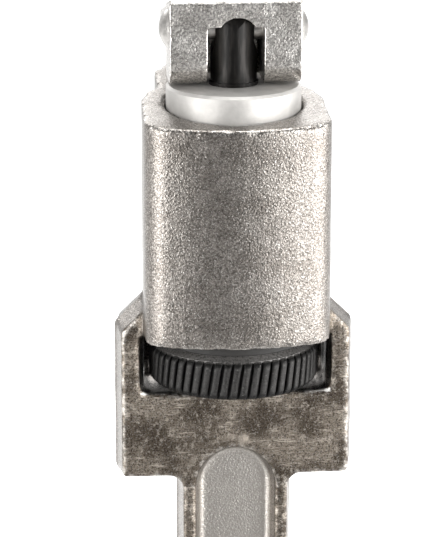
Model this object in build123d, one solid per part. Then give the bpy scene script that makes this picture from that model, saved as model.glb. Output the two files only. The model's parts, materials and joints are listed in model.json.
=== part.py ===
from build123d import *
import math
import os

# Adjustable gripping wrench with a long forged handle, a screw-driven shank and a hinged hook jaw.
# X runs across the tool, +Y from its back towards its jaws, +Z up along the handle.
# The origin is the middle of the hang hole. Millimetres.
# The pieces are drawn with z = 0 at the top of the shank, and the hang hole is HANG_Z below that.

# ---- driving dimensions ----------------------------------------------------------------
HANG_Z = -340.0          # hang hole, below the top of the shank
HANG_RADIUS = 5.0

HALF_THICK = 7.6         # half the thickness of the block and the handle
DRAFT = 7.5              # forging draft of their sides, degrees
BLOCK_HALF = 26.6        # half width at the parting plane
BLOCK_TOP = -47.5
BLOCK_TOP_HALF = 19.6
BLOCK_SHOULDER = 6.8     # height of the sloping shoulders
BLOCK_BOTTOM = -90.0
HANDLE_FILLET = 2.2
HANDLE_HALF = 12.75
RECESS_HALF = 9.0
RECESS_DEPTH = 4.2
RECESS_TOP = -82.5
RECESS_END = 26.0        # from the recess's last arc to the hang hole
RECESS_DRAFT = 14.0

WINDOW_HALF = 20.5
WINDOW_FLARE = 1.25      # how much wider the window is at the block's back face
FLARE_DEPTH = 2.8
LIP_HALF = 18.6          # the window's narrower mouth on the jaw side keeps the wheel in
LIP_Y = 6.0
WINDOW_TOP = -55.7       # also the bottom of the barrel
WINDOW_BOTTOM = -69.3
WINDOW_CORNER = 2.0
BARREL_HALF = 20.65
BARREL_FRONT = 19.5
BARREL_SHOULDER = (15.5, 17.2)   # where the convex back turns into the corner's arc
BARREL_CORNER = (19.2, 14.9)     # a point on that arc
BARREL_FLANK = 10.8              # the flank is flat from here
BARREL_TAIL = 4.3                # to here, on the jaw side
TOP_FRONT = -6.4         # top of the barrel at its front
TOP_SLOPE = 5.6          # degrees, rising towards the jaws

NOSE_HALF = 16.2         # the nose that carries the heel jaw
NOSE_TIP_HALF = 11.0
NOSE_START = 6.0
NOSE_TAPER = 24.0
NOSE_END = 34.2
NOSE_CORNER = 3.5
NOSE_FOOT = -27.0
NOSE_HEEL = 20.0         # from here its underside rises at 45 degrees
NOSE_TOP = 8.0
FAR = 50.0               # beyond the tool's head, for cutting shapes

SHANK_RADIUS = 15.0
SHANK_LENGTH = 52.0
SHANK_ROOF = 6.0         # thickness of metal over the spring chamber
THREAD_RADIUS = 9.0
THREAD_PITCH = 4.0
THREAD_DEPTH = 1.6
RUNNING = 0.05           # radial clearance of a running fit
KEYWAY_HALF = 3.0
KEYWAY_DEPTH = 3.0
KEYWAY_TOP = -29.0
SHANK_CHAMFER = 0.6
GUIDE_Z = -36.0
GUIDE_RADIUS = 4.0
GUIDE_START = 12.6       # the guide screw's ends, and the start of its thread
GUIDE_NECK = 15.6
GUIDE_END = 25.6
GUIDE_SEAT = 20.0        # spot face under the lock nut
GUIDE_SEAT_RADIUS = 8.2
LOCK_NUT_THICK = 4.0
LOCK_NUT_RADIUS = 7.5    # over its corners

WHEEL_RADIUS = 19.1
WHEEL_TOP = -57.8
WHEEL_BOTTOM = -67.6
WHEEL_MIDDLE = (WHEEL_TOP + WHEEL_BOTTOM) / 2
WHEEL_BEVEL = 2.2
WHEEL_TEETH = 53
TOOTH_DEPTH = 1.0
TOOTH_LEAN = 9.0         # degrees off the wheel's axis
JOURNAL_RADIUS = 6.0     # lead screw inside the wheel
PIVOT_RADIUS = 5.0       # lead screw's foot in the block
PIVOT_LENGTH = 6.8
GRUB_RADIUS = 2.0
GRUB_TIP = 5.2
GRUB_END = 12.5
GRUB_HEX = 1.15
THRUST_RING = (15.2, 17.0)       # inner and outer radius
LOWER_WASHER = (5.3, 10.0)
LOWER_WASHER_THICK = 1.0
DISC_SPRING = (5.4, 9.2)
DISC_THICK = 0.5

STEM_RADIUS = 5.15
EYE_HALF = 4.25          # half width across the stem's flats
FLANGE_RADIUS = 5.5
FLANGE_THICK = 0.8
NECK_TOP = 9.8           # the flats run out into the round between these heights
NECK_FOOT = 7.2
TAIL_RADIUS = 4.0
TAIL_END = -21.4
NUT_PIN_Z = -18.6
NUT_PIN_RADIUS = 1.0
PIN_Z = 12.5             # hinge rivet above the top of the shank
PIN_RADIUS = 2.7
RIVET_HEAD = (4.5, 2.0)  # radius and height of its domed heads
SPRING_TOP = -7.2
SPRING_BOTTOM = -15.0
SPRING_WIRE = 0.8
SPRING_RADIUS = 6.9
SPRING_TURNS = 3
NUT_THICK = 5.0

YOKE_HALF = 14.5
YOKE_DEPTH = 7.2
YOKE_TOP = 19.9
YOKE_FLOOR = 0.55
SLOT_HALF = 6.1
ARM_HALF = 13.9
ARM_FALL = 13.5          # degrees, slope of the arm's top towards the jaws
ARM_END = 38.0
BITE_START = (12.0, 8.0)     # y and z where the hook jaw's biting line begins
BITE_SLOPE = -0.19
INSERT_HALF = 10.0
INSERT_START = 15.0
INSERT_END = 35.0
INSERT_THICK = 3.2
INSERT_PINS = (20.0, 30.0)
INSERT_PIN_RADIUS = 1.1
INSERT_PIN_DEPTH = 2.0       # above the biting line
JAW_TOOTH = 2.0
TOOTH_HEIGHT = 1.0
HEEL_START = 19.5
HEEL_END = 33.5
HEEL_FLOOR = -8.0
HEEL_TIP = -0.8
HEEL_PIN = (26.5, -5.2)      # y and z of the heel jaw's cross pin
HEEL_PIN_RADIUS = 2.0
HEEL_PIN_HALF = 15.0


# ---- helpers ---------------------------------------------------------------------------
def prism_y(face, y_from, y_to):
    """Extrude a face drawn in x, z along Y."""
    return extrude(Plane((0, y_from, 0), x_dir=(1, 0, 0), z_dir=(0, -1, 0)) * face,
                   amount=y_to - y_from, dir=(0, 1, 0))


def prism_x(face, half):
    """Extrude a face drawn in y, z to both sides of the middle plane."""
    return extrude(Plane.YZ * face, amount=half, both=True)


def rod(radius, z_from, z_to):
    """A round bar along Z."""
    return Pos(0, 0, (z_from + z_to) / 2) * Cylinder(radius, z_to - z_from)


def rod_x(radius, y, z, half):
    """A round bar along X."""
    return Pos(0, y, z) * Rot(0, 90, 0) * Cylinder(radius, 2 * half)


def rod_y(radius, x, z, y_from, y_to):
    """A round bar along Y."""
    return Pos(x, (y_from + y_to) / 2, z) * Rot(90, 0, 0) * Cylinder(radius, y_to - y_from)


def block(x_half, y_from, y_to, z_from, z_to):
    """A box, symmetric in X."""
    centre = Pos(0, (y_from + y_to) / 2, (z_from + z_to) / 2)
    return centre * Box(2 * x_half, y_to - y_from, z_to - z_from)


def turned(points):
    """Turn an outline of radius, z points about Z."""
    return revolve(Plane.XZ * Polygon(*points, align=None), Axis.Z)


def barrel_top(y):
    """Height of the barrel's sloping top at a given depth."""
    return TOP_FRONT + (y + BARREL_FRONT) * math.tan(math.radians(TOP_SLOPE))


def bite(y):
    """Height of the hook jaw's biting line at a given depth."""
    return BITE_START[1] + BITE_SLOPE * (y - BITE_START[0])


# ---- root: the forged handle and what is fixed in it -------------------------------------
def drafted_plate():
    """Block and handle as one forging, drafted both ways from the parting plane."""
    right = [(BLOCK_TOP_HALF, BLOCK_TOP), (BLOCK_HALF, BLOCK_TOP - BLOCK_SHOULDER),
             (BLOCK_HALF, BLOCK_BOTTOM), (HANDLE_HALF, BLOCK_BOTTOM), (HANDLE_HALF, HANG_Z)]
    left = [(-x, z) for x, z in reversed(right)]
    outline = make_face([
        Polyline(*right),
        ThreePointArc(right[-1], (0, HANG_Z - HANDLE_HALF), left[0]),
        Polyline(*left, right[0]),
    ])
    corners = [v for v in outline.vertices() if abs(v.Y - BLOCK_BOTTOM) < 0.01]
    face = Plane.XZ * fillet(corners, HANDLE_FILLET)
    front, back = [extrude(face, amount=HALF_THICK, dir=(0, way, 0), taper=DRAFT)
                   for way in (-1, 1)]
    return front + back


def handle_recesses():
    """The long channel in each side of the handle, with round ends."""
    top = RECESS_TOP - RECESS_HALF
    bottom = HANG_Z + RECESS_END
    slot = Pos(0, (top + bottom) / 2) * Rectangle(2 * RECESS_HALF, top - bottom)
    slot += Pos(0, top) * Circle(RECESS_HALF)
    slot += Pos(0, bottom) * Circle(RECESS_HALF)
    recesses = Part()
    for way in (-1, 1):
        mouth = Plane((0, way * HALF_THICK, 0), x_dir=(1, 0, 0), z_dir=(0, -1, 0)) * slot
        recesses += extrude(mouth, amount=RECESS_DEPTH, dir=(0, -way, 0), taper=RECESS_DRAFT)
    return recesses


def barrel():
    """The barrel, with its convex back, and the nose that carries the heel jaw."""
    tail = (math.sqrt(BARREL_HALF ** 2 - BARREL_TAIL ** 2), BARREL_TAIL)
    edge = (BARREL_HALF, -BARREL_FLANK)
    corner = (BARREL_CORNER[0], -BARREL_CORNER[1])
    shoulder = (BARREL_SHOULDER[0], -BARREL_SHOULDER[1])
    flank = [ThreePointArc(shoulder, corner, edge), Line(edge, tail)]
    outline = make_face([
        ThreePointArc((-shoulder[0], shoulder[1]), (0, -BARREL_FRONT), shoulder),
        *flank,
        ThreePointArc(tail, (0, BARREL_HALF), (-tail[0], tail[1])),
        *[mirror(piece, about=Plane.YZ) for piece in flank],
    ])
    tube = Pos(0, 0, WINDOW_TOP) * extrude(outline, amount=NOSE_TOP - WINDOW_TOP)
    plan = Polygon((-NOSE_HALF, NOSE_START), (NOSE_HALF, NOSE_START), (NOSE_HALF, NOSE_TAPER),
                   (NOSE_TIP_HALF, NOSE_END), (-NOSE_TIP_HALF, NOSE_END), (-NOSE_HALF, NOSE_TAPER),
                   align=None)
    plan = fillet([v for v in plan.vertices() if v.Y > NOSE_START + 1], NOSE_CORNER)
    nose = Pos(0, 0, NOSE_FOOT) * extrude(plan, amount=NOSE_TOP - NOSE_FOOT)
    side_view = Polygon((NOSE_START, NOSE_FOOT), (NOSE_HEEL, NOSE_FOOT), (FAR, NOSE_FOOT + FAR - NOSE_HEEL),
                        (FAR, NOSE_TOP), (NOSE_START, NOSE_TOP), align=None)
    nose &= prism_x(side_view, FAR)
    above = Polygon((-FAR, barrel_top(-FAR)), (FAR, barrel_top(FAR)), (FAR, FAR), (-FAR, FAR), align=None)
    return tube + nose - prism_x(above, FAR)


def window_outline(half, bottom):
    """The window in the block: square under the barrel, rounded at its floor."""
    outline = Polygon((-half, WINDOW_TOP), (-half, bottom), (half, bottom), (half, WINDOW_TOP),
                      align=None)
    return fillet([v for v in outline.vertices() if v.Y < WINDOW_TOP - 1], WINDOW_CORNER)


def wheel_window():
    """The wheel's window: flared where the wheel goes in, narrower on the jaw side."""
    window = prism_y(window_outline(WINDOW_HALF, WINDOW_BOTTOM), -12, LIP_Y)
    window += prism_y(window_outline(LIP_HALF, WINDOW_BOTTOM), LIP_Y - 1, 12)
    mouth = window_outline(WINDOW_HALF + WINDOW_FLARE, WINDOW_BOTTOM)
    throat = window_outline(WINDOW_HALF, WINDOW_BOTTOM)
    faces = [Plane((0, depth, 0), x_dir=(1, 0, 0), z_dir=(0, -1, 0)) * outline
             for depth, outline in ((-HALF_THICK - 0.01, mouth), (FLARE_DEPTH - HALF_THICK, throat))]
    return window + loft(faces, ruled=True)


def handle_body():
    body = barrel() + drafted_plate()
    body -= handle_recesses()
    body -= wheel_window()
    body -= rod(SHANK_RADIUS + RUNNING, WINDOW_TOP - 1, 10)
    body -= rod(PIVOT_RADIUS + RUNNING, WINDOW_BOTTOM - PIVOT_LENGTH - 0.7, WINDOW_BOTTOM + 1)
    body -= rod_y(GUIDE_RADIUS, 0, GUIDE_Z, 10, 25)
    body -= rod_y(GUIDE_SEAT_RADIUS, 0, GUIDE_Z, GUIDE_SEAT, 30)
    body -= block(INSERT_HALF, HEEL_START, FAR, HEEL_FLOOR, FAR)
    body -= heel_jaw_pin()
    body -= rod_y(HANG_RADIUS, 0, HANG_Z, -10, 10)
    return body


def saw(y_from, y_to, tip, root):
    """Points of a row of jaw teeth, tip and root heights given as functions of y."""
    points = []
    count = round((y_to - y_from) / JAW_TOOTH)
    step = (y_to - y_from) / count
    for i in range(count):
        y = y_from + i * step
        points += [(y, root(y)), (y + 0.75 * step, tip(y + 0.75 * step))]
    return points + [(y_to, root(y_to))]


def heel_jaw():
    teeth = saw(HEEL_START, HEEL_END, lambda y: HEEL_TIP, lambda y: HEEL_TIP - TOOTH_HEIGHT)
    outline = Polygon((HEEL_START, HEEL_FLOOR), *teeth, (HEEL_END, HEEL_FLOOR), align=None)
    return prism_x(outline, INSERT_HALF) - heel_jaw_pin()


def heel_jaw_pin():
    return rod_x(HEEL_PIN_RADIUS, *HEEL_PIN, HEEL_PIN_HALF)


def guide_screw():
    """A set screw whose dog point runs in the shank's keyway."""
    thread = rod_y(GUIDE_RADIUS, 0, GUIDE_Z, GUIDE_NECK, GUIDE_END)
    point = rod_y(KEYWAY_HALF - 0.3, 0, GUIDE_Z, GUIDE_START, GUIDE_NECK)
    socket = prism_y(Pos(0, GUIDE_Z) * RegularPolygon(2.3, 6), GUIDE_END - 3.2, GUIDE_END + 1)
    return thread + point - socket


def guide_lock_nut():
    """A thin hexagon nut with slightly rounded corners."""
    top = GUIDE_SEAT + LOCK_NUT_THICK
    nut = prism_y(Pos(0, GUIDE_Z) * RegularPolygon(LOCK_NUT_RADIUS, 6), GUIDE_SEAT, top)
    nut &= rod_y(LOCK_NUT_RADIUS - 0.2, 0, GUIDE_Z, GUIDE_SEAT, top)
    return nut - rod_y(GUIDE_RADIUS, 0, GUIDE_Z, GUIDE_SEAT - 1, top + 1)


# ---- wheel: the adjusting wheel and its lead screw -----------------------------------------
def toothed_outline():
    """The wheel's rim: one flat tip and one valley for each tooth."""
    points = []
    for i in range(WHEEL_TEETH):
        for part, radius in ((-0.2, WHEEL_RADIUS), (0.2, WHEEL_RADIUS),
                             (0.5, WHEEL_RADIUS - TOOTH_DEPTH)):
            angle = 2 * math.pi * (i + part) / WHEEL_TEETH
            points.append((radius * math.cos(angle), radius * math.sin(angle)))
    return Polygon(*points, align=None)


def adjusting_wheel():
    height = WHEEL_TOP - WHEEL_BOTTOM
    twist = math.degrees(height * math.tan(math.radians(TOOTH_LEAN)) / WHEEL_RADIUS)
    low = Pos(0, 0, WHEEL_BOTTOM) * toothed_outline()
    high = Pos(0, 0, WHEEL_TOP) * Rot(0, 0, twist) * toothed_outline()
    rim = loft([low, high], ruled=True)
    rim &= turned([(0, WHEEL_BOTTOM), (WHEEL_RADIUS - WHEEL_BEVEL / 2, WHEEL_BOTTOM),
                   (WHEEL_RADIUS, WHEEL_BOTTOM + WHEEL_BEVEL / 2),
                   (WHEEL_RADIUS, WHEEL_TOP - WHEEL_BEVEL),
                   (WHEEL_RADIUS - WHEEL_BEVEL, WHEEL_TOP), (0, WHEEL_TOP)])
    rim -= rod(JOURNAL_RADIUS, WHEEL_BOTTOM - 1, WHEEL_TOP + 1)
    return rim - grub_hole()


def grub_hole():
    """Hole for the grub screw, through the wheel's rim and into the lead screw."""
    return rod_y(GRUB_RADIUS, 0, WHEEL_MIDDLE, GRUB_TIP, WHEEL_RADIUS + 5)


def lead_screw():
    """Foot, journal and trapezoidal thread, the thread shown as plain grooves."""
    major = THREAD_RADIUS - RUNNING
    minor = major - THREAD_DEPTH
    foot = WINDOW_BOTTOM - PIVOT_LENGTH
    points = [(0, foot), (PIVOT_RADIUS, foot),
              (PIVOT_RADIUS, WHEEL_BOTTOM), (JOURNAL_RADIUS, WHEEL_BOTTOM),
              (JOURNAL_RADIUS, WHEEL_TOP)]
    z = WHEEL_TOP
    for _ in range(8):
        points += [(major, z), (major, z + 0.40 * THREAD_PITCH), (minor, z + 0.55 * THREAD_PITCH),
                   (minor, z + 0.85 * THREAD_PITCH)]
        z += THREAD_PITCH
    points += [(major - 0.6, z), (major - 0.6, z + 0.4), (0, z + 0.4)]
    return turned(points) - grub_hole()


def wheel_grub_screw():
    socket = prism_y(Pos(0, WHEEL_MIDDLE) * RegularPolygon(GRUB_HEX, 6), GRUB_END - 2, GRUB_END + 1)
    return rod_y(GRUB_RADIUS, 0, WHEEL_MIDDLE, GRUB_TIP, GRUB_END) - socket


def thrust_washer():
    """Hardened ring that the wheel pushes up against the barrel."""
    inner, outer = THRUST_RING
    return rod(outer, WHEEL_TOP, WINDOW_TOP - RUNNING) - rod(inner, WHEEL_TOP - 1, WINDOW_TOP + 1)


def lower_washer():
    inner, outer = LOWER_WASHER
    washer = rod(outer, WHEEL_BOTTOM - LOWER_WASHER_THICK, WHEEL_BOTTOM)
    return washer - rod(inner, WINDOW_BOTTOM, WHEEL_TOP)


def disc_spring():
    """Coned spring that takes up the wheel's end play."""
    inner, outer = DISC_SPRING
    top = WHEEL_BOTTOM - LOWER_WASHER_THICK
    low = WINDOW_BOTTOM + RUNNING
    return turned([(inner, top - DISC_THICK), (outer, low), (outer, low + DISC_THICK), (inner, top)])


# ---- shank -------------------------------------------------------------------------------
def shank():
    body = rod(SHANK_RADIUS, -SHANK_LENGTH, 0)
    body = chamfer(body.edges().filter_by(GeomType.CIRCLE), SHANK_CHAMFER)
    body -= rod(THREAD_RADIUS, -SHANK_LENGTH - 1, -SHANK_ROOF)
    body -= rod(STEM_RADIUS + RUNNING, -SHANK_ROOF - 1, 1)
    keyway = block(KEYWAY_HALF, SHANK_RADIUS - KEYWAY_DEPTH, 16, -SHANK_LENGTH - 1, KEYWAY_TOP)
    return body - keyway


def spring_seat_washer():
    return rod(8.5, SPRING_TOP, -SHANK_ROOF) - rod(5.5, SPRING_TOP - 1, 0)


def stem_spring():
    height = SPRING_TOP - SPRING_BOTTOM - 2 * SPRING_WIRE
    path = Pos(0, 0, SPRING_BOTTOM + SPRING_WIRE) * Helix(height / SPRING_TURNS, height, SPRING_RADIUS)
    start = Plane(origin=path @ 0, z_dir=path % 0)
    return sweep(start * Circle(SPRING_WIRE), path, is_frenet=True)


# ---- stem --------------------------------------------------------------------------------
def stem():
    """Round bar with an eye at its top, a flange on the shank and a thinner threaded tail."""
    bar = rod(STEM_RADIUS, SPRING_TOP - 0.3, PIN_Z)
    bar += rod_x(STEM_RADIUS, 0, PIN_Z, STEM_RADIUS) & rod(STEM_RADIUS, 0, 2 * PIN_Z)
    wide = STEM_RADIUS + 0.1
    sides = Polygon((-EYE_HALF, 2 * PIN_Z), (-EYE_HALF, NECK_TOP), (-wide, NECK_FOOT), (-wide, -30),
                    (wide, -30), (wide, NECK_FOOT), (EYE_HALF, NECK_TOP), (EYE_HALF, 2 * PIN_Z),
                    align=None)
    bar &= prism_y(sides, -10, 10)
    bar += rod(FLANGE_RADIUS, 0, FLANGE_THICK)
    bar += rod(TAIL_RADIUS, TAIL_END, SPRING_TOP)
    bar -= rod_x(PIN_RADIUS + RUNNING, 0, PIN_Z, 10)
    return bar - rod_x(NUT_PIN_RADIUS, 0, NUT_PIN_Z, 10)


def stem_nut():
    """Flanged nut that the stem's spring pushes down."""
    nut = rod(8.0, SPRING_BOTTOM - 1.2, SPRING_BOTTOM)
    nut += Pos(0, 0, SPRING_BOTTOM - NUT_THICK) * extrude(RegularPolygon(7.0, 6), amount=NUT_THICK - 1)
    nut -= rod(TAIL_RADIUS, -30, 0)
    return nut - rod_x(NUT_PIN_RADIUS, 0, NUT_PIN_Z, 10)


def nut_pin():
    return rod_x(NUT_PIN_RADIUS, 0, NUT_PIN_Z, 6.2)


# ---- jaw ---------------------------------------------------------------------------------
def yoke_and_arm():
    """Side view of the hook jaw, once as the wide yoke and once as the narrower arm."""
    front, rear = -YOKE_DEPTH, YOKE_DEPTH
    fall = math.tan(math.radians(ARM_FALL))
    arm_tip = YOKE_TOP - fall * (ARM_END - front - 1.0)
    rear_top = YOKE_TOP - fall * (rear - front - 1.0)
    yoke = make_face([
        Line((front, 5.2), (front, YOKE_TOP - 1.0)),
        Line((front, YOKE_TOP - 1.0), (front + 1.0, YOKE_TOP)),
        Line((front + 1.0, YOKE_TOP), (rear, rear_top)),
        Line((rear, rear_top), (rear, YOKE_FLOOR + 3.0)),
        ThreePointArc((rear, YOKE_FLOOR + 3.0), (rear - 0.88, YOKE_FLOOR + 0.88), (rear - 3.0, YOKE_FLOOR)),
        Line((rear - 3.0, YOKE_FLOOR), (-1.5, YOKE_FLOOR)),
        ThreePointArc((-1.5, YOKE_FLOOR), (-5.7, 2.25), (front, 5.2)),
    ])
    arm = Polygon((rear - 2.0, YOKE_TOP - fall * (rear - front - 3.0)), (ARM_END, arm_tip),
                  (ARM_END + 0.9, arm_tip - 1.8), (ARM_END + 0.3, bite(ARM_END) + 0.6),
                  (BITE_START[0], BITE_START[1] + 0.8), (rear - 2.0, BITE_START[1] + 1.4),
                  align=None)
    return prism_x(yoke, YOKE_HALF) + prism_x(arm, ARM_HALF)


def hook_jaw():
    jaw = yoke_and_arm()
    slot_depth = STEM_RADIUS + 0.45
    jaw -= rod_x(slot_depth, 0, PIN_Z, SLOT_HALF)
    jaw -= block(SLOT_HALF, -10, 0, -1, PIN_Z + 1.2)
    jaw -= block(SLOT_HALF, -1, slot_depth, -1, PIN_Z)
    jaw -= rod_y(4.3, 0.45, PIN_Z - 1.0, -10, -3)
    jaw -= insert_blank()
    jaw -= insert_pins()
    return jaw - rod_x(PIN_RADIUS, 0, PIN_Z, 20)


def insert_blank():
    """Seat of the toothed insert, open towards the heel jaw."""
    seat = [(y, bite(y) + INSERT_THICK) for y in (INSERT_START, INSERT_END)]
    mouth = [(y, bite(y) - 3) for y in (INSERT_END, INSERT_START)]
    return prism_x(Polygon(*seat, *mouth, align=None), INSERT_HALF)


def jaw_insert():
    teeth = saw(INSERT_START, INSERT_END, bite, lambda y: bite(y) + TOOTH_HEIGHT)
    outline = Polygon((INSERT_START, bite(INSERT_START) + INSERT_THICK), *teeth,
                      (INSERT_END, bite(INSERT_END) + INSERT_THICK), align=None)
    return prism_x(outline, INSERT_HALF) - insert_pins()


def insert_pins():
    near, far = [rod_x(INSERT_PIN_RADIUS, y, bite(y) + INSERT_PIN_DEPTH, ARM_HALF - 1.4)
                 for y in INSERT_PINS]
    return near + far


def hinge_rivet():
    """Cross rivet with a domed head on each leg of the yoke."""
    head, rise = RIVET_HEAD
    tip = YOKE_HALF + rise
    ball = (head ** 2 + rise ** 2) / (2 * rise)
    crown = tip - ball + math.sqrt(ball ** 2 - PIN_RADIUS ** 2)
    profile = make_face([
        Line((0, 0), (PIN_RADIUS, 0)),
        Line((PIN_RADIUS, 0), (PIN_RADIUS, YOKE_HALF)),
        Line((PIN_RADIUS, YOKE_HALF), (head, YOKE_HALF)),
        ThreePointArc((head, YOKE_HALF), (PIN_RADIUS, crown), (0, tip)),
        Line((0, tip), (0, 0)),
    ])
    half = revolve(Plane.XZ * profile, Axis.Z)
    return Pos(0, 0, PIN_Z) * Rot(0, 90, 0) * (half + mirror(half, about=Plane.XY))


NODES = [handle_body, heel_jaw, heel_jaw_pin, guide_screw, guide_lock_nut,
         adjusting_wheel, lead_screw, wheel_grub_screw, thrust_washer, lower_washer, disc_spring,
         shank, spring_seat_washer, stem_spring, stem, stem_nut, nut_pin,
         hook_jaw, jaw_insert, insert_pins, hinge_rivet]

os.makedirs("parts", exist_ok=True)
for make in NODES:
    export_step(Pos(0, 0, -HANG_Z) * make(), f"parts/{make.__name__}.step")
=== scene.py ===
# %% [markdown]
# # An adjustable hook jaw wrench
# This lesson dresses a forged hand tool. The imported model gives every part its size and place, and
# this file gives them their skins and finishes. All lengths are in metres, and +Z runs up the handle.

# %% Load the frame
import json
import math

import bmesh
import bpy
import numpy as np
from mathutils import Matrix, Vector, noise


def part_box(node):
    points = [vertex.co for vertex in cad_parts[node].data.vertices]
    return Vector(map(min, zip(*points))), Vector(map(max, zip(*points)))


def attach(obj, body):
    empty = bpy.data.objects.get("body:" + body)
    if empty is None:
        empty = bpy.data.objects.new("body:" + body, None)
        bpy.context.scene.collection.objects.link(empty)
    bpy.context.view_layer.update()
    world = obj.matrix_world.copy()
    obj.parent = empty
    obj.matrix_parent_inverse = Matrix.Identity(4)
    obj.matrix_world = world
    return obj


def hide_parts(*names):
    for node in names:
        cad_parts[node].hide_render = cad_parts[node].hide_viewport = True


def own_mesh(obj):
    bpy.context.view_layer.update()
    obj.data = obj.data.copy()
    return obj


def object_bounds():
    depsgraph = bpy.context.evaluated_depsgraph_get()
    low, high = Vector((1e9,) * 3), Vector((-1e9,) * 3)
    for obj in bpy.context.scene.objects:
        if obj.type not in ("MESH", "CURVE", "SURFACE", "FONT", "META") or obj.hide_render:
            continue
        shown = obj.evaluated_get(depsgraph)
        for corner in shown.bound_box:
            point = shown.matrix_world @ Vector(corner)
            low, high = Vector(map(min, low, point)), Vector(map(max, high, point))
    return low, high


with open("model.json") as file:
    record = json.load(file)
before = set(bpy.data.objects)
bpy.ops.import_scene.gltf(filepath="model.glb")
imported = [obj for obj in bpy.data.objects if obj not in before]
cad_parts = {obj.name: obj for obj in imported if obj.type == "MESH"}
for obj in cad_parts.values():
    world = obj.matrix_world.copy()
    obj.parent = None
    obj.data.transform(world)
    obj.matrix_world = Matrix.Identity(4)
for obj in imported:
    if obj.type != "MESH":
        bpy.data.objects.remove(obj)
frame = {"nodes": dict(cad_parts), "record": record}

CAD_LOW, CAD_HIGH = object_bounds()
MM = 0.001
PLUG_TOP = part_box("shank")[1].z
BLOCK_FACE = 7.6 * MM                  # the block's and the handle's faces stand this far out
WINDOW_TOP = PLUG_TOP - 55.7 * MM
WINDOW_BOTTOM = PLUG_TOP - 69.3 * MM
RECESS_ARCH = PLUG_TOP - 82.5 * MM
BLOCK_BOTTOM = PLUG_TOP - 90.0 * MM
print("frame box", [round(v, 4) for v in (*CAD_LOW, *CAD_HIGH)], "shank top", round(PLUG_TOP, 4))

# %% [markdown]
# ## Where to look from
# A long lens from a little above and a little to the left. A long lens keeps the barrel's sides nearly
# parallel. The camera aims at the middle of the head.

# %% Camera
AIM = Vector((-4.1 * MM, 0.0, PLUG_TOP - 42.5 * MM))
CAMERA_AZIMUTH = math.radians(-4.5)
CAMERA_HEIGHT = math.radians(16.0)
CAMERA_DISTANCE = 0.65
FRAME_HEIGHT = 0.1205                  # height of the view at the aim

camera_data = bpy.data.cameras.new("camera")
camera_data.sensor_fit = "VERTICAL"
camera_data.sensor_height = 24.0
camera_data.lens = camera_data.sensor_height * CAMERA_DISTANCE / FRAME_HEIGHT
camera_data.clip_start = 0.01
camera = bpy.data.objects.new("camera", camera_data)
bpy.context.scene.collection.objects.link(camera)
towards_camera = Vector((math.sin(CAMERA_AZIMUTH) * math.cos(CAMERA_HEIGHT),
                         -math.cos(CAMERA_AZIMUTH) * math.cos(CAMERA_HEIGHT),
                         math.sin(CAMERA_HEIGHT)))
camera.location = AIM + CAMERA_DISTANCE * towards_camera
camera.rotation_euler = towards_camera.to_track_quat("Z", "Y").to_euler()
bpy.context.scene.camera = camera
print("lens", round(camera_data.lens, 1), "mm")

# %% [markdown]
# ## Light
# Bare metal shows what stands around it more than it shows light. So the light comes from two broad
# soft boxes at the sides, the right one stronger, with a small one above and a wide one behind. The
# room and the floor are dark in front and bright behind, so a curved face runs from light to dark.

# %% Lights, room and floor
FLOOR_Z = CAD_LOW.z - 0.0005


def soft_box(name, place, target, width, height, watts):
    data = bpy.data.lights.new(name, "AREA")
    data.shape = "RECTANGLE"
    data.size = width
    data.size_y = height
    data.energy = watts
    light = bpy.data.objects.new(name, data)
    light.location = place
    light.rotation_euler = (Vector(place) - Vector(target)).to_track_quat("Z", "Y").to_euler()
    bpy.context.scene.collection.objects.link(light)


soft_box("right_box", (0.72, -0.42, 0.30), AIM, 1.1, 1.1, 25.0)
soft_box("left_box", (-0.72, -0.45, 0.30), AIM, 0.65, 1.1, 14.0)
soft_box("top_box", (0.1, 0.1, 1.3), AIM, 0.6, 0.6, 7.0)
soft_box("back_box", (0.0, 0.95, 0.80), AIM, 1.7, 0.6, 9.0)

world = bpy.data.worlds.new("room")
bpy.context.scene.world = world
world.use_nodes = True
room = world.node_tree
background = room.nodes["Background"]
coordinate = room.nodes.new("ShaderNodeTexCoord")
split = room.nodes.new("ShaderNodeSeparateXYZ")
fade = room.nodes.new("ShaderNodeMapRange")
fade.interpolation_type = "SMOOTHSTEP"
fade.inputs["From Min"].default_value = -1.0
fade.inputs["From Max"].default_value = 0.55
fade.inputs["To Min"].default_value = 0.18
fade.inputs["To Max"].default_value = 0.75
room.links.new(coordinate.outputs["Generated"], split.inputs["Vector"])
room.links.new(split.outputs["Y"], fade.inputs["Value"])
room.links.new(fade.outputs["Result"], background.inputs["Strength"])
background.inputs["Color"].default_value = (1.0, 1.0, 1.0, 1.0)

floor_mesh = bpy.data.meshes.new("floor")
floor_mesh.from_pydata([(-5, -5, FLOOR_Z), (5, -5, FLOOR_Z), (5, 7, FLOOR_Z), (-5, 7, FLOOR_Z)],
                       [], [(0, 1, 2, 3)])
floor = bpy.data.objects.new("floor", floor_mesh)
bpy.context.scene.collection.objects.link(floor)
bpy.context.scene.view_settings.view_transform = "Standard"
print("floor at", round(FLOOR_Z, 4))

# %% [markdown]
# ## Writing materials as sums
# A shader tree is easier to read as arithmetic than as a list of links. `Val` wraps one socket, and
# its operators add Math nodes. `Tree` makes every other node with one method.


# %% Shader arithmetic
class Val:
    """One output socket that can be used in sums."""

    def __init__(self, tree, socket):
        self.tree = tree
        self.socket = socket

    def math(self, operation, *others):
        values = dict(enumerate((self, *others)))
        return self.tree.node("ShaderNodeMath", {"operation": operation}, values)

    def __add__(self, other):
        return self.math("ADD", other)

    def __mul__(self, other):
        return self.math("MULTIPLY", other)

    def __sub__(self, other):
        return self.math("SUBTRACT", other)

    def __rsub__(self, other):
        return self.math("MULTIPLY", -1.0).math("ADD", other)

    def __abs__(self):
        return self.math("ABSOLUTE")

    __radd__ = __add__
    __rmul__ = __mul__


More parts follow.
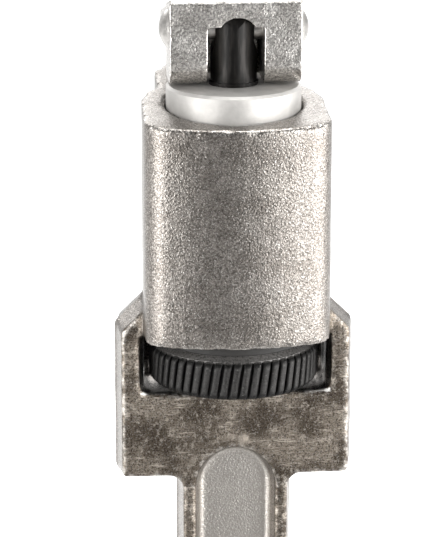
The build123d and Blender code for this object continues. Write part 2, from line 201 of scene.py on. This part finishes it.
class Tree:
    """A material's nodes."""

    def __init__(self, name):
        self.material = bpy.data.materials.new(name)
        self.material.use_nodes = True
        self.material.node_tree.nodes.clear()

    def node(self, kind, settings=None, values=None, out=0):
        made = self.material.node_tree.nodes.new(kind)
        for key, setting in (settings or {}).items():
            setattr(made, key, setting)
        for key, value in (values or {}).items():
            if isinstance(value, Val):
                self.material.node_tree.links.new(value.socket, made.inputs[key])
            else:
                made.inputs[key].default_value = value
        return Val(self, made.outputs[out])

    def place(self):
        return self.node("ShaderNodeTexCoord", out="Object")

    def parts(self, vector):
        split_node = self.node("ShaderNodeSeparateXYZ", None, {0: vector}).socket.node
        return [Val(self, split_node.outputs[i]) for i in range(3)]

    def stretch(self, vector, scale, turn=(0.0, 0.0, 0.0)):
        return self.node("ShaderNodeMapping", None, {"Vector": vector, "Scale": scale, "Rotation": turn})

    def noise(self, vector, scale, detail=2.0, rough=0.5):
        return self.node("ShaderNodeTexNoise", None,
                         {"Vector": vector, "Scale": scale, "Detail": detail, "Roughness": rough})

    def cells(self, vector, scale):
        return self.node("ShaderNodeTexVoronoi", {"feature": "SMOOTH_F1"},
                         {"Vector": vector, "Scale": scale, "Smoothness": 0.7})

    def step(self, value, low, high):
        """0 below low, 1 above high and smooth between; low may be the larger."""
        flip = low > high
        rising = self.node("ShaderNodeMapRange", {"interpolation_type": "SMOOTHSTEP"},
                           {"Value": value, "From Min": min(low, high), "From Max": max(low, high)})
        return 1.0 - rising if flip else rising

    def mix(self, mask, a, b):
        values = {0: mask, 6: a if isinstance(a, Val) else (*a, 1.0),
                  7: b if isinstance(b, Val) else (*b, 1.0)}
        return self.node("ShaderNodeMix", {"data_type": "RGBA"}, values, out=2)

    def bump(self, height, distance, strength):
        values = {"Height": height, "Distance": distance, "Strength": strength}
        return self.node("ShaderNodeBump", None, values)

    def attribute(self, name):
        return self.node("ShaderNodeAttribute", {"attribute_name": name}, out="Fac")

    def shade(self, colour, roughness, metallic, normal, **constants):
        values = {"Base Color": colour if isinstance(colour, Val) else (*colour, 1.0),
                  "Roughness": roughness, "Metallic": metallic}
        if normal is not None:
            values["Normal"] = normal
        values.update(constants)
        shader = self.node("ShaderNodeBsdfPrincipled", None, values)
        output = self.material.node_tree.nodes.new("ShaderNodeOutputMaterial")
        self.material.node_tree.links.new(shader.socket, output.inputs["Surface"])
        return self.material


# %% [markdown]
# ## The floor's paint
# A pale sweep that glows a little, more behind the tool than in front of it, where the barrel mirrors
# it. A little cloudiness in its gloss keeps it from looking flat.

# %% Floor paint
paint = Tree("floor_paint")
spot = paint.place()
cloud = paint.noise(spot, 3.0)
behind = paint.step(paint.parts(spot)[1], -0.30, 0.30)
shade = paint.mix(behind, (0.36, 0.36, 0.36), (0.80, 0.80, 0.80))
glow = paint.mix(behind, (0.06, 0.06, 0.06), (0.95, 0.95, 0.95))
floor_mesh.materials.append(paint.shade(shade, cloud * 0.1 + 0.6, 0.0, None,
                                        **{"Emission Color": glow, "Emission Strength": 0.75}))
print("floor painted")

# %% [markdown]
# ## A forging's skin
# A hot forging has no sharp edges and no flat faces: the hammer leaves waves, the dies' parting line
# leaves a thin flash, and shot blasting leaves a fine pebble. So the CAD solid is copied, rebuilt as
# an even net of small quads, softened, and pushed in and out along its normals. The finest pebble is
# too small for a mesh and is left to the material.


# %% Helpers for skins
def merged_copy(name, node):
    """A copy of a CAD node whose loose triangles share their corners."""
    mesh = frame["nodes"][node].data.copy()
    merged = bmesh.new()
    merged.from_mesh(mesh)
    bmesh.ops.remove_doubles(merged, verts=merged.verts, dist=2e-6)
    bmesh.ops.recalc_face_normals(merged, faces=merged.faces)
    merged.to_mesh(mesh)
    merged.free()
    copy = bpy.data.objects.new(name, mesh)
    bpy.context.scene.collection.objects.link(copy)
    return copy


def grid_copy(name, node, voxel, softening):
    """A copy of a CAD node as an even, softened net."""
    copy = merged_copy(name, node)
    remesh = copy.modifiers.new("net", "REMESH")
    remesh.mode = "VOXEL"
    remesh.voxel_size = voxel
    smooth = copy.modifiers.new("soften", "SMOOTH")
    smooth.factor = 0.5
    smooth.iterations = softening
    return bake_modifiers(copy)


def bake_modifiers(piece):
    """Turn a piece's live modifiers into plain mesh."""
    bpy.context.view_layer.update()
    evaluated = piece.evaluated_get(bpy.context.evaluated_depsgraph_get())
    mesh = bpy.data.meshes.new_from_object(evaluated)
    piece.modifiers.clear()
    piece.data = mesh
    mesh.name = piece.name
    return piece


def mesh_arrays(mesh):
    points = np.empty(len(mesh.vertices) * 3)
    mesh.vertices.foreach_get("co", points)
    normals = np.empty(len(mesh.vertices) * 3)
    mesh.vertices.foreach_get("normal", normals)
    return points.reshape(-1, 3), normals.reshape(-1, 3)


def edge_strength(mesh, points, normals, passes):
    """How sharply the surface turns at each vertex: positive on ridges, negative in corners."""
    pairs = np.empty(len(mesh.edges) * 2, dtype=np.int64)
    mesh.edges.foreach_get("vertices", pairs)
    a, b = pairs.reshape(-1, 2).T
    span = points[b] - points[a]
    turn = np.zeros(len(points))
    count = np.zeros(len(points))
    np.add.at(turn, a, -np.einsum("ij,ij->i", span, normals[a]))
    np.add.at(turn, b, np.einsum("ij,ij->i", span, normals[b]))
    np.add.at(count, a, 1)
    np.add.at(count, b, 1)
    turn /= np.maximum(count, 1)
    for _ in range(passes):
        spread = np.zeros(len(points))
        np.add.at(spread, a, turn[b])
        np.add.at(spread, b, turn[a])
        turn = 0.5 * turn + 0.5 * spread / np.maximum(count, 1)
    return turn


def ripple(points, size, seed):
    """Smooth noise of about the given size, from -1 to 1, at each point."""
    shift = Vector((seed * 17.3, seed * 5.9, seed * 11.7))
    return np.array([noise.noise(Vector(p) / size + shift) for p in points])


def step(values, low, high):
    t = np.clip((values - low) / (high - low), 0.0, 1.0)
    return t * t * (3 - 2 * t)


def push(mesh, points, normals, amount):
    mesh.vertices.foreach_set("co", (points + normals * amount[:, None]).ravel())
    mesh.update()


def keep_attribute(mesh, name, values):
    layer = mesh.attributes.new(name, "FLOAT", "POINT")
    layer.data.foreach_set("value", values.astype(np.float32))


def shade_smooth(mesh):
    mesh.polygons.foreach_set("use_smooth", [True] * len(mesh.polygons))


def set_finish(piece, finish):
    """Give a piece one material."""
    piece.data.materials.clear()
    piece.data.materials.append(finish)


# %% [markdown]
# ## The handle
# One forging: the barrel, the block with its window, and the handle's channel. Its waves are broad on
# the barrel. The window's lower lip and the block's edges are chipped, and the flash runs round the
# middle of the block's and the handle's sides.

# %% Handle skin
BORE_RADIUS = 15.6 * MM                # just over the barrel's bore, to pick out its wall
SEAM_DEPTH = 9.0 * MM                  # the bore's mouth is opened this far down
SEAM_GAP = 0.22 * MM
SHOULDER_Z = PLUG_TOP - 48.0 * MM      # the block's sides start here
ARCH_CENTRE = RECESS_ARCH - 9.0 * MM   # centre of the recess's round end
BEAD_RADIUS = 11.6 * MM                # a bead of flash runs round that end
SCAR_X = 1.6 * MM                      # a knob left by the die, just above the recess
SCAR_Z = RECESS_ARCH + 2.0 * MM
handle = grid_copy("handle_skin", "handle_body", 0.72 * MM, 2)
points, normals = mesh_arrays(handle.data)
x, y, z = points.T
edge = edge_strength(handle.data, points, normals, 2)
ridge = step(edge, 0.023 * MM, 0.093 * MM)
bore = (np.hypot(x, y) < BORE_RADIUS) & (z > WINDOW_TOP)
seam = bore & (z > PLUG_TOP - SEAM_DEPTH)
wave = 0.09 * MM * ripple(points, 8 * MM, 1) + 0.02 * MM * ripple(points, 2.2 * MM, 2)
chips = -0.22 * MM * ridge * step(ripple(points, 1.5 * MM, 3), 0.12, 0.5)
sideways = step(np.abs(normals[:, 0]), 0.55, 0.8) * (np.abs(x) > 11 * MM)
forged_side = sideways * (z < SHOULDER_Z)
flash = 0.28 * MM * forged_side * (1 - step(np.abs(y), 0.2 * MM, 0.9 * MM))
back_face = (normals[:, 1] < -0.8) & (z < WINDOW_BOTTOM)
off_arch = np.abs(np.hypot(x, z - ARCH_CENTRE) - BEAD_RADIUS)
near_arch = (1 - step(off_arch, 0.1 * MM, 0.7 * MM)) * (z > ARCH_CENTRE + 6 * MM)
bead = near_arch * step(ripple(points, 1.6 * MM, 8), -0.35, 0.25)
off_scar = np.hypot(x - SCAR_X, z - SCAR_Z)
knob = 1 - step(off_scar, 0.6 * MM, 1.7 * MM)
scar = np.where(back_face, np.maximum(0.6 * bead, knob), 0.0)
amount = np.where(bore, 0.0, wave * (1 - 0.5 * ridge) + chips + flash + 0.3 * MM * scar)
amount = np.where(seam, -SEAM_GAP, amount)
push(handle.data, points, normals, amount)
keep_attribute(handle.data, "edge", ridge)
keep_attribute(handle.data, "scar", scar)
shade_smooth(handle.data)
print("handle", len(handle.data.polygons), "faces, ridge share", round(float(ridge.mean()), 3))

# %% [markdown]
# ## The hook jaw
# Forged and blasted like the handle, but smaller, so its net is finer.

# %% Hook jaw skin
hook = grid_copy("hook_jaw_skin", "hook_jaw", 0.3 * MM, 2)
points, normals = mesh_arrays(hook.data)
edge = edge_strength(hook.data, points, normals, 2)
ridge = step(edge, 0.008 * MM, 0.035 * MM)
wave = 0.07 * MM * ripple(points, 4 * MM, 4) + 0.04 * MM * ripple(points, 1.4 * MM, 5)
chips = -0.12 * MM * ridge * step(ripple(points, 1.2 * MM, 6), 0.1, 0.5)
push(hook.data, points, normals, wave * (1 - 0.5 * ridge) + chips - 0.03 * MM)
keep_attribute(hook.data, "edge", ridge)
shade_smooth(hook.data)
print("hook jaw", len(hook.data.polygons), "faces")

# %% [markdown]
# ## Satin nickel over a blasted forging
# The same plating looks different with what is under it. On the barrel it is pale and pebbled, on the
# block's ground face it is darker, browner and scratched, and in the handle's channel it is fine and
# even. Masks made from the height and the depth tell the three apart. Ridges are rubbed bright and also
# carry a painted highlight, and fine bright specks are painted glints.


# %% The block's faces
def block_masks(t, x, y, z):
    """Where the block's ground faces are, and the handle's channel between its rails."""
    below = t.step(z, WINDOW_TOP + 0.4 * MM, WINDOW_TOP - 0.4 * MM)
    beside = t.step(abs(x), 20.6 * MM, 21.2 * MM) * t.step(z, SHOULDER_Z + 2 * MM, SHOULDER_Z)
    outer = t.step(abs(y), BLOCK_FACE - 1.1 * MM, BLOCK_FACE - 0.5 * MM)
    sunk = t.step(abs(y), BLOCK_FACE - 2.6 * MM, BLOCK_FACE - 3.4 * MM)
    between_rails = t.step(abs(x), 9.5 * MM, 9.0 * MM)
    under_block = t.step(z, WINDOW_TOP - 20 * MM, WINDOW_TOP - 22 * MM)
    face = below.math("MAXIMUM", beside) * outer
    return face, below * sunk * between_rails * under_block


def chipped_lip(t, x, y, z, patch):
    """The window's lower lip, where chips show bright metal."""
    frayed = z - WINDOW_BOTTOM + (patch - 0.5) * (1.6 * MM)
    at_lip = t.step(abs(frayed), 0.42 * MM, 0.22 * MM) * t.step(abs(y), 6.4 * MM, 7.0 * MM)
    return at_lip * t.step(abs(x), 21.6 * MM, 21.0 * MM) * t.step(abs(x), 9.0 * MM, 13.0 * MM)


def ground_steel(t, place, patch):
    """A ground face: its tone, its grit, and the height of its scratches."""
    scratch = t.noise(t.stretch(place, (0.10, 1.0, 1.0), (0.0, 0.42, 0.0)), 2300.0, 3.0, 0.75)
    drag = t.noise(t.stretch(place, (0.12, 1.0, 1.0), (0.0, -0.25, 0.0)), 1300.0, 3.0, 0.7)
    grit = t.noise(place, 2100.0, 4.0, 0.8)
    area = t.noise(place, 110.0, 3.0, 0.55)
    scratched = t.step(scratch, 0.55, 0.66) * t.step(area, 0.42, 0.56)
    dragged = t.step(drag, 0.58, 0.70) * t.step(area, 0.58, 0.44)
    tone = t.mix(t.step(area, 0.36, 0.62), (0.080, 0.065, 0.051), (0.205, 0.175, 0.142))
    tone = t.mix(t.step(patch, 0.53, 0.64) * 0.6, tone, (0.42, 0.375, 0.32))
    tone = t.mix(t.step(grit, 0.49, 0.57) * 0.85, tone, (0.026, 0.020, 0.015))
    tone = t.mix(scratched * 0.7, tone, (0.50, 0.445, 0.38))
    tone = t.mix(dragged * 0.8, tone, (0.035, 0.027, 0.021))
    return tone, grit, scratch * 0.55 + drag * 0.5 + grit * 0.7


# %% Forging finish
def forging_finish(name, has_block, dark, pale):
    """Blasted satin plating between two tones, with the block's faces where a piece has them."""
    t = Tree(name)
    place = t.place()
    fine = t.noise(place, 3600.0, 2.0, 0.7)
    pebble = t.cells(place, 2300.0)
    broad = t.noise(place, 160.0, 3.0, 0.6)
    patch = t.noise(place, 620.0, 4.0, 0.7)
    speckle = t.noise(place, 2000.0, 3.0, 0.8)
    tone = t.mix(t.step(broad, 0.3, 0.7), dark, pale)
    tone = t.mix(t.step(speckle, 0.48, 0.58) * 0.75, tone, tuple(0.22 * c for c in dark))
    tone = t.mix(t.step(pebble, 0.30, 0.62) * 0.5, tone, tuple(0.5 * c for c in dark))
    rough = 0.20 + broad * 0.06 + fine * 0.12
    height = fine * 0.5 - pebble * 0.5
    # Strengths of the ridge brightening (wear and painted highlight), of the painted glints, and of the
    # bump.
    wear_and_highlight = 0.25
    painted_glint_share = 0.45
    depth = 0.10 * MM
    if has_block:
        x, y, z = t.parts(place)
        face, channel = block_masks(t, x, y, z)
        ground, grit, furrows = ground_steel(t, place, patch)
        tone = t.mix(channel * 0.8, tone, (0.40, 0.375, 0.345))
        tone = t.mix(face, tone, ground)
        tone = t.mix(chipped_lip(t, x, y, z, patch) * 0.9, tone, (0.92, 0.90, 0.87))
        tone = t.mix(t.attribute("scar") * 0.75, tone, (0.38, 0.335, 0.285))
        rough = rough + face * (grit * 0.14) + channel * 0.05
        height = height * (1.0 - face * 0.75) + face * furrows
        wear_and_highlight = 0.45 * (1.0 - t.step(z, BLOCK_BOTTOM - 1 * MM, BLOCK_BOTTOM - 4 * MM) * 0.8)
        painted_glint_share = 0.6 - face * 0.38
        depth = 0.14 * MM
    # Painted glints: fine bright specks painted into the colour, fewer on the block's ground faces.
    painted_glints = t.step(t.noise(place, 3200.0, 2.0, 0.6), 0.57, 0.66)
    tone = t.mix(painted_glints * painted_glint_share, tone, (0.66, 0.635, 0.60))
    # Ridges brighten: partly rubbed wear, partly a painted highlight along the edges, with less below
    # the block.
    worn_and_highlit = t.attribute("edge") * t.step(patch, 0.42, 0.62) * wear_and_highlight
    tone = t.mix(worn_and_highlit, tone, (0.72, 0.70, 0.665))
    rough = rough - worn_and_highlit * 0.12
    return t.shade(tone, rough, 1.0, t.bump(height, depth, 0.9))


# The hook jaw has the handle's plating but takes far paler tones as painted light, and the handle's
# darker tones are painted shade.
handle_finish_painted_shade = forging_finish("satin_forging", True, (0.235, 0.212, 0.190), (0.34, 0.314, 0.288))
hook_finish_painted_light = forging_finish("satin_forging_small", False, (0.64, 0.61, 0.575), (0.90, 0.87, 0.83))
set_finish(handle, handle_finish_painted_shade)
set_finish(hook, hook_finish_painted_light)
for piece, node, body in ((handle, "handle_body", "handle_group"), (hook, "hook_jaw", "jaw_group")):
    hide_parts(node)
    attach(piece, body)
print("forgings finished")

# %% [markdown]
# ## The adjusting wheel
# A turned disc with 53 slanted ridges. The ridges all have one shape, so a Geometry Nodes tree copies
# one ridge round the disc. The disc is turned from its profile.

# %% Wheel sizes and the one ridge
WHEEL_LOW, WHEEL_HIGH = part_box("adjusting_wheel")
WHEEL_RADIUS = 19.1 * MM
WHEEL_TEETH = 53
RIDGE_HEIGHT = 1.0 * MM
RIDGE_LEAN = math.radians(9.0)
CORE_RADIUS = WHEEL_RADIUS - RIDGE_HEIGHT
BEVEL = 2.3 * MM


def envelope(z):
    """Largest radius of the wheel at a height, with its two 45 degree bevels."""
    return min(WHEEL_RADIUS, WHEEL_RADIUS - (z - (WHEEL_HIGH.z - BEVEL)),
               WHEEL_RADIUS - (WHEEL_LOW.z + BEVEL / 2 - z))


def one_ridge():
    """A rounded, leaning ridge on the +X side, cut back at both bevels."""
    pitch = 2 * math.pi / WHEEL_TEETH
    across = ((-0.46, -0.25), (-0.34, 0.78), (-0.20, 0.97), (0.20, 0.97), (0.34, 0.78), (0.46, -0.25))
    stations = 14
    verts, faces = [], []
    bottom = WHEEL_LOW.z + 0.1 * MM
    top = WHEEL_HIGH.z - BEVEL + RIDGE_HEIGHT
    for i in range(stations):
        z = bottom + (top - bottom) * i / (stations - 1)
        twist = (z - WHEEL_LOW.z) * math.tan(RIDGE_LEAN) / WHEEL_RADIUS
        for share, rise in across:
            radius = min(CORE_RADIUS + rise * RIDGE_HEIGHT, envelope(z) + 0.02 * MM)
            angle = share * pitch + twist
            verts.append((radius * math.cos(angle), radius * math.sin(angle), z))
    wide = len(across)
    for i in range(stations - 1):
        for j in range(wide - 1):
            a = i * wide + j
            faces.append((a, a + 1, a + 1 + wide, a + wide))
        faces.append((i * wide + wide - 1, i * wide, (i + 1) * wide, (i + 1) * wide + wide - 1))
    faces.append(tuple(range(wide - 1, -1, -1)))
    faces.append(tuple((stations - 1) * wide + j for j in range(wide)))
    mesh = bpy.data.meshes.new("one_ridge")
    mesh.from_pydata(verts, [], faces)
    shade_smooth(mesh)
    return bpy.data.objects.new("one_ridge", mesh)


def turned_piece(name, profile, segments):
    """Turn a closed profile of radius, z points about Z."""
    verts, faces = [], []
    count = len(profile)
    for i in range(segments):
        angle = 2 * math.pi * i / segments
        verts += [(r * math.cos(angle), r * math.sin(angle), z) for r, z in profile]
    for i in range(segments):
        here, there = i * count, (i + 1) % segments * count
        for j in range(count):
            k = (j + 1) % count
            faces.append((here + j, there + j, there + k, here + k))
    mesh = bpy.data.meshes.new(name)
    mesh.from_pydata(verts, [], faces)
    tidy = bmesh.new()
    tidy.from_mesh(mesh)
    bmesh.ops.recalc_face_normals(tidy, faces=tidy.faces)
    tidy.to_mesh(mesh)
    tidy.free()
    piece = bpy.data.objects.new(name, mesh)
    bpy.context.scene.collection.objects.link(piece)
    return piece


print("wheel", round(2 * WHEEL_RADIUS / MM, 1), "mm across, ridges", WHEEL_TEETH)

# %% [markdown]
# ## Copying the ridge round the wheel
# The tree puts one point on the axis for each ridge, turns each copy by its share of a full turn, and
# joins the copies to the core. Its last nodes make them real mesh and give them their finish.


# %% The ridge tree
def ridge_tree():
    """Copies an object round Z: inputs are the core, the ridge, the count and the finish."""
    tree = bpy.data.node_groups.new("ridges", "GeometryNodeTree")
    face = tree.interface
    face.new_socket("Geometry", in_out="INPUT", socket_type="NodeSocketGeometry")
    face.new_socket("Ridge", in_out="INPUT", socket_type="NodeSocketObject")
    face.new_socket("Count", in_out="INPUT", socket_type="NodeSocketInt")
    face.new_socket("Finish", in_out="INPUT", socket_type="NodeSocketMaterial")
    face.new_socket("Geometry", in_out="OUTPUT", socket_type="NodeSocketGeometry")
    nodes = {key: tree.nodes.new(kind) for key, kind in (
        ("in", "NodeGroupInput"), ("out", "NodeGroupOutput"), ("points", "GeometryNodePoints"),
        ("info", "GeometryNodeObjectInfo"), ("index", "GeometryNodeInputIndex"),
        ("share", "ShaderNodeMath"), ("turn", "ShaderNodeMath"), ("spin", "ShaderNodeCombineXYZ"),
        ("copy", "GeometryNodeInstanceOnPoints"), ("join", "GeometryNodeJoinGeometry"),
        ("real", "GeometryNodeRealizeInstances"), ("set", "GeometryNodeSetMaterial"))}
    nodes["share"].operation = "DIVIDE"
    nodes["turn"].operation = "MULTIPLY"
    nodes["turn"].inputs[1].default_value = 2 * math.pi
    for start, out, end, into in (
            ("in", "Count", "points", "Count"), ("in", "Ridge", "info", "Object"),
            ("index", 0, "share", 0), ("in", "Count", "share", 1), ("share", 0, "turn", 0),
            ("turn", 0, "spin", "Z"), ("points", 0, "copy", "Points"),
            ("info", "Geometry", "copy", "Instance"), ("spin", 0, "copy", "Rotation"),
            ("copy", 0, "join", 0), ("in", "Geometry", "join", 0), ("join", 0, "real", 0),
            ("real", 0, "set", "Geometry"), ("in", "Finish", "set", "Material"),
            ("set", 0, "out", 0)):
        tree.links.new(nodes[start].outputs[out], nodes[end].inputs[into])
    return tree


def set_input(modifier, name, value):
    """Set a modifier's input by its socket's identifier."""
    socket = next(s for s in modifier.node_group.interface.items_tree
                  if s.name == name and s.in_out == "INPUT")
    modifier[socket.identifier] = value


# %% [markdown]
# ## Black finishes
# Phosphate on the wheel is a dull, slightly grey black that hands have rubbed to metal on the tips of
# the ridges and on the bevel. Black oxide on the stem is thinner and glossier, with steel showing
# through at its edges.


# %% Black phosphate and black oxide
def black_phosphate():
    t = Tree("black_phosphate")
    place = t.place()
    x, y, z = t.parts(place)
    radius = (x * x + y * y).math("SQRT")
    grain = t.noise(place, 2400.0, 3.0, 0.7)
    cloud_tone = t.noise(place, 220.0, 3.0, 0.6)
    tone = t.mix(t.step(cloud_tone, 0.35, 0.65), (0.003, 0.0029, 0.0028), (0.010, 0.0096, 0.0092))
    tip = t.step(radius, WHEEL_RADIUS - 0.32 * MM, WHEEL_RADIUS - 0.02 * MM)
    bevel = t.step(z, WHEEL_HIGH.z - 1.75 * MM, WHEEL_HIGH.z - 1.35 * MM)
    rubbed = (tip * 0.25).math("MAXIMUM", bevel * 0.9) * t.step(grain, 0.2, 0.6)
    tone = t.mix(rubbed, tone, (0.13, 0.125, 0.12))
    flat_top = t.step(z, WHEEL_HIGH.z - 0.1 * MM, WHEEL_HIGH.z - 0.02 * MM)
    tone = t.mix(flat_top, tone, (0.004, 0.0038, 0.0035))
    nick = t.step(grain, 0.62, 0.72) * t.step(radius, WHEEL_RADIUS - 0.8 * MM, WHEEL_RADIUS - 0.2 * MM)
    tone = t.mix(nick * 0.5, tone, (0.30, 0.29, 0.28))
    rough = 0.46 + grain * 0.2 - rubbed * 0.12 + flat_top * 0.25
    lathe = (radius * 26000.0).math("SINE") * bevel
    normal = t.bump(grain + lathe * 0.15, 0.10 * MM, 0.9)
    return t.shade(tone, rough, 0.75 - flat_top * 0.75, normal)


def black_oxide():
    t = Tree("black_oxide")
    place = t.place()
    x, y, z = t.parts(place)
    grain = t.noise(place, 1800.0, 3.0, 0.6)
    streak = t.noise(t.stretch(place, (1.0, 1.0, 0.12)), 1300.0, 2.0, 0.6)
    tone = t.mix(t.step(streak, 0.4, 0.7), (0.006, 0.0055, 0.005), (0.020, 0.018, 0.0165))
    rough = 0.28 + grain * 0.16
    normal = t.bump(streak * 0.6 + grain * 0.4, 0.05 * MM, 0.6)
    return t.shade(tone, rough, 0.7, normal)


# Painted shade: a dull, mottled near-black that the thrust washer wears to stand for the shadow in the
# gap under the barrel.
def dark_grease():
    t = Tree("dark_grease")
    shade_mottle = t.noise(t.place(), 900.0, 3.0, 0.6)
    tone = t.mix(shade_mottle, (0.004, 0.0036, 0.003), (0.014, 0.012, 0.010))
    return t.shade(tone, 0.5 + shade_mottle * 0.3, 0.0, t.bump(shade_mottle, 0.05 * MM, 0.6))


phosphate = black_phosphate()
oxide = black_oxide()
print("black finishes made")

# %% [markdown]
# ## Building the wheel
# The core is turned from its profile and the tree adds the ridges. The modifier is made plain mesh
# before the wheel is given its body.

# %% Build the wheel
bore_radius = 6.0 * MM
low, high = WHEEL_LOW.z, WHEEL_HIGH.z
soft = 0.15 * MM
inner_bevel = BEVEL - RIDGE_HEIGHT
wheel_profile = [
    (bore_radius, low), (CORE_RADIUS - soft, low), (CORE_RADIUS, low + 0.25 * MM),
    (CORE_RADIUS, high - inner_bevel - soft), (CORE_RADIUS - soft / 2, high - inner_bevel + soft / 2),
    (WHEEL_RADIUS - BEVEL + soft, high - soft), (WHEEL_RADIUS - BEVEL - soft, high),
    (bore_radius, high)]
wheel = turned_piece("wheel_knurled", wheel_profile, 4 * WHEEL_TEETH)
ridges = wheel.modifiers.new("ridges", "NODES")
ridges.node_group = ridge_tree()
set_input(ridges, "Ridge", one_ridge())
set_input(ridges, "Count", WHEEL_TEETH)
set_input(ridges, "Finish", phosphate)
bake_modifiers(wheel)
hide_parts("adjusting_wheel")
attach(wheel, "wheel_group")
print("wheel", len(wheel.data.polygons), "faces")

# %% [markdown]
# ## Turned and bright steel
# A lathe leaves fine rings round the shank and on its top, and they spread the light sideways. The
# rivet is peened, so its heads carry shallow dents. The jaws are ground along their teeth.


# %% Steel finishes
def turned_steel():
    t = Tree("turned_steel")
    place = t.place()
    x, y, z = t.parts(place)
    radius = (x * x + y * y).math("SQRT")
    flat_top = t.step(z, PLUG_TOP - 0.12 * MM, PLUG_TOP - 0.02 * MM)
    rings = t.noise(t.node("ShaderNodeCombineXYZ", None, {0: radius, 1: z}), 5200.0, 3.0, 0.7)
    smear = t.noise(place, 240.0, 3.0, 0.6)
    tone = t.mix(t.step(smear, 0.35, 0.7), (0.39, 0.378, 0.362), (0.47, 0.457, 0.438))
    tone = t.mix(t.step(rings, 0.58, 0.75) * 0.35, tone, (0.52, 0.50, 0.47))
    rough = 0.42 + rings * 0.14 + flat_top * 0.04
    normal = t.bump(rings, 0.05 * MM, 0.7)
    return t.shade(tone, rough, 0.6, normal)


def bright_steel():
    t = Tree("bright_steel")
    place = t.place()
    dents = t.noise(place, 620.0, 2.0, 0.5)
    grain = t.noise(place, 3000.0, 3.0, 0.6)
    tone = t.mix(t.step(dents, 0.35, 0.65), (0.30, 0.29, 0.275), (0.44, 0.425, 0.405))
    rough = 0.28 + grain * 0.16
    normal = t.bump(dents * 0.8 + grain * 0.2, 0.10 * MM, 0.8)
    return t.shade(tone, rough, 1.0, normal)


def tool_steel():
    t = Tree("tool_steel")
    place = t.place()
    ground = t.noise(t.stretch(place, (0.05, 1.0, 1.0)), 2600.0, 3.0, 0.7)
    cloud_tone = t.noise(place, 300.0, 3.0, 0.6)
    tone = t.mix(t.step(cloud_tone, 0.35, 0.65), (0.26, 0.25, 0.235), (0.38, 0.365, 0.35))
    tone = t.mix(t.step(ground, 0.58, 0.75) * 0.5, tone, (0.55, 0.54, 0.52))
    normal = t.bump(ground, 0.06 * MM, 0.7)
    return t.shade(tone, 0.26 + ground * 0.16, 1.0, normal)


def spring_steel():
    t = Tree("spring_steel")
    place = t.place()
    cloud_tone = t.noise(place, 500.0, 3.0, 0.6)
    tone = t.mix(t.step(cloud_tone, 0.35, 0.7), (0.12, 0.10, 0.085), (0.30, 0.28, 0.26))
    normal = t.bump(t.noise(place, 2600.0), 0.04 * MM, 0.6)
    return t.shade(tone, 0.25 + cloud_tone * 0.2, 1.0, normal)


finishes = {"turned_steel": turned_steel(), "bright_steel": bright_steel(),
            "tool_steel": tool_steel(), "spring_steel": spring_steel(),
            "black_oxide": oxide, "black_phosphate": phosphate, "satin_forging": handle_finish_painted_shade}
gap_shade_finish = dark_grease()

# %% [markdown]
# ## Dress the parts that keep their CAD shape
# Pins, washers, screws, the shank and the stem are machined, so their CAD shape is already right. Each
# one takes the finish of its own slot in the record, except the thrust washer, which is a dull
# near-black as painted shade for the dark gap under the barrel.

# %% Dress the machined parts
dressed = 0
for row in frame["record"]["subparts"]:
    part = frame["nodes"][row["node"]]
    # The thrust washer takes the painted shade for the gap under the barrel.
    finish = gap_shade_finish if row["node"] == "thrust_washer" else finishes[row["material_slot"]]
    if not part.material_slots:
        part.data.materials.append(finish)
    for material_slot in part.material_slots:
        material_slot.material = finish
    dressed += 1
print("dressed", dressed, "parts")

# %% [markdown]
# ## Stem spring
# The coil inside the shank shortens as the stem rises. A rigid copy would be left poking into the nut,
# and the coil here is such a copy: a piece of its own that rides with the shank and is not squashed.

# %% Build the stem spring
coil = merged_copy("stem_spring_coil", "stem_spring")
set_finish(coil, finishes["spring_steel"])
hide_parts("stem_spring")
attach(coil, "shank_group")
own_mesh(coil)
